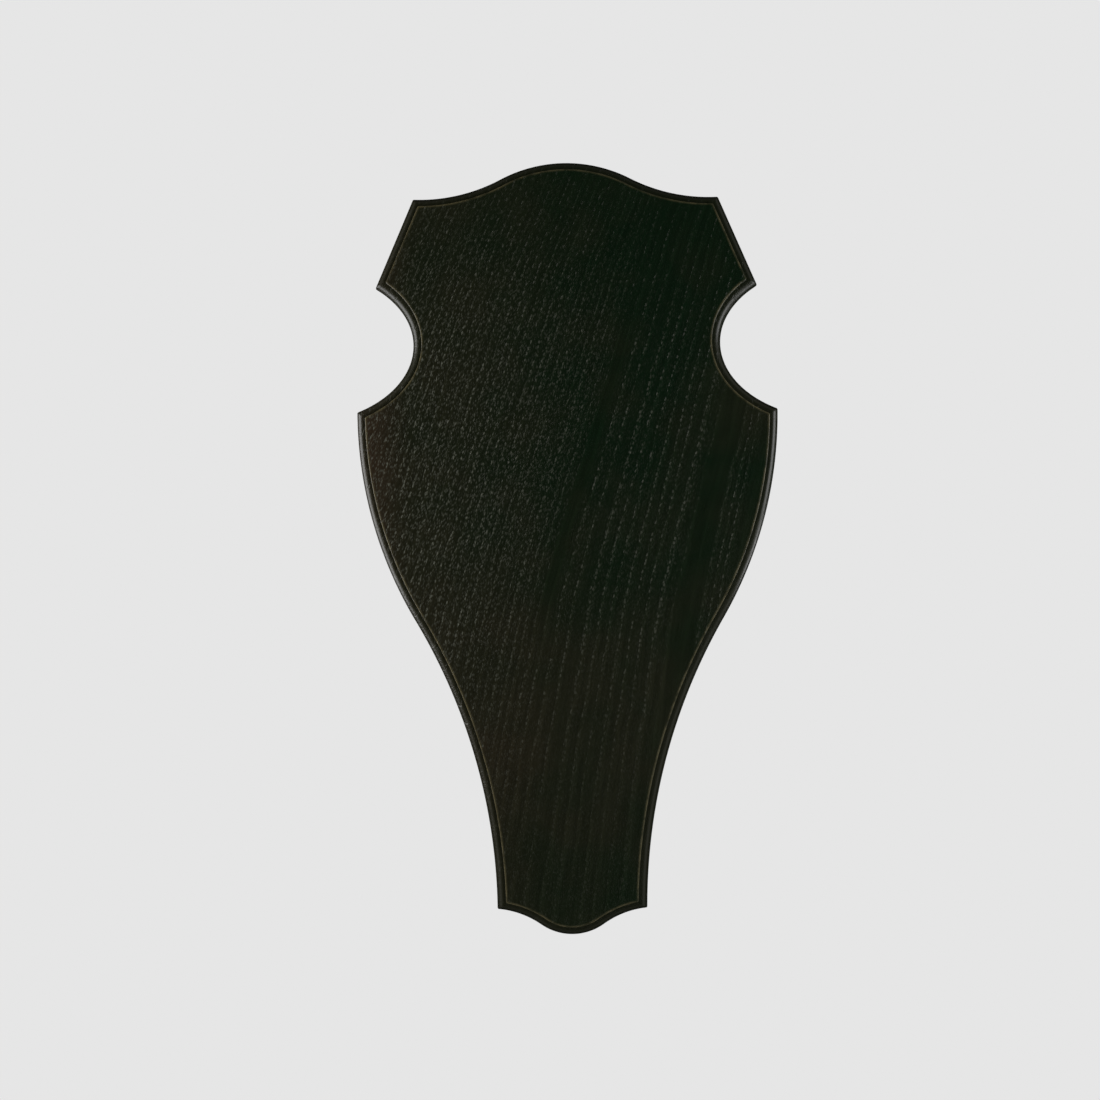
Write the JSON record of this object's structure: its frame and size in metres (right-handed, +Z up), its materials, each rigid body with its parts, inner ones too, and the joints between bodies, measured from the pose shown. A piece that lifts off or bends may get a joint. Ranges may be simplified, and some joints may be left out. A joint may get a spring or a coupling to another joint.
{
  "type": "antler mounting plaque",
  "caption": "Flat wooden wall plaque with a shield outline, side notches, a moulded front edge and a keyhole recess in the back, for mounting antlers.",
  "frame": {"origin": "on the flat back, on the centre line at mid height, where the board lies against the wall", "axes": "+Z up, +Y into the wall, -Y out of the front face, +X to the right as seen from the front"},
  "size_m": [0.12, 0.015, 0.22],
  "materials": {
    "stained_oak": "open-pored oak, stained black-brown and lacquered to a satin sheen, stain worn thin on the edge of the face"
  },
  "bodies": {
    "root": {"plaque_board": "stained_oak"}
  },
  "joints": []
}
